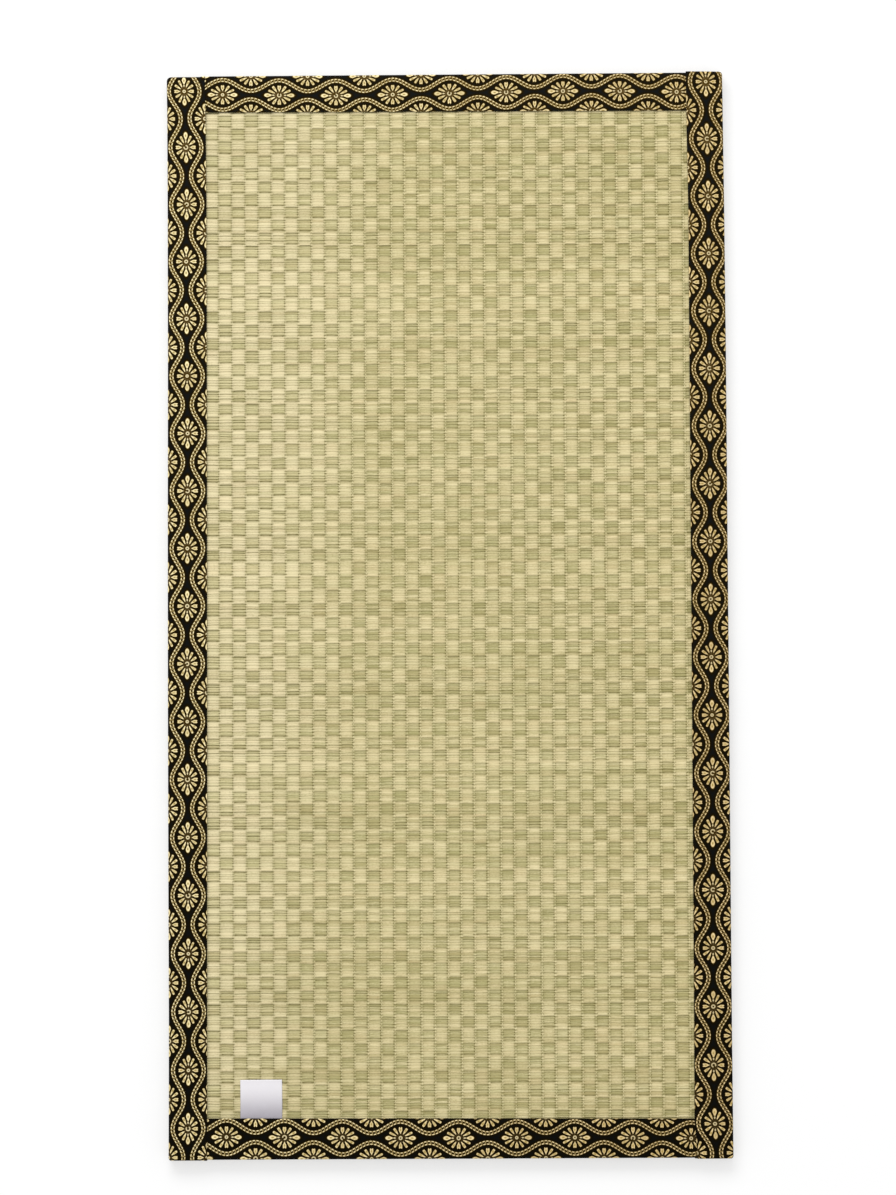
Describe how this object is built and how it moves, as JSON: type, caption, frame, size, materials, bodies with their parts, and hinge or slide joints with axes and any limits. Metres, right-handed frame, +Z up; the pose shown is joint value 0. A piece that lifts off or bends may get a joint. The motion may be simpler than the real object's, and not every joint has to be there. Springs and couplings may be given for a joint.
{
  "type": "rush prayer mat",
  "caption": "Firm rectangular woven-rush prayer mat with a brocade binding folded round its edges and a small blank label, for kneeling on a floor.",
  "frame": {"origin": "on the floor under the middle of the mat", "axes": "+X across the mat, +Y along it towards the end without the label, +Z up"},
  "size_m": [0.62, 1.2029, 0.0163],
  "materials": {
    "rush": "woven dried rush, pale straw with a green cast, low sheen",
    "brocade": "black ground with a gold wave-and-flower repeat, silky",
    "satin": "pale satin, bare"
  },
  "bodies": {
    "root": {"rush_mat": "rush", "binding_left": "brocade", "binding_right": "brocade", "binding_top": "brocade", "binding_bottom": "brocade", "label": "satin"}
  },
  "joints": []
}
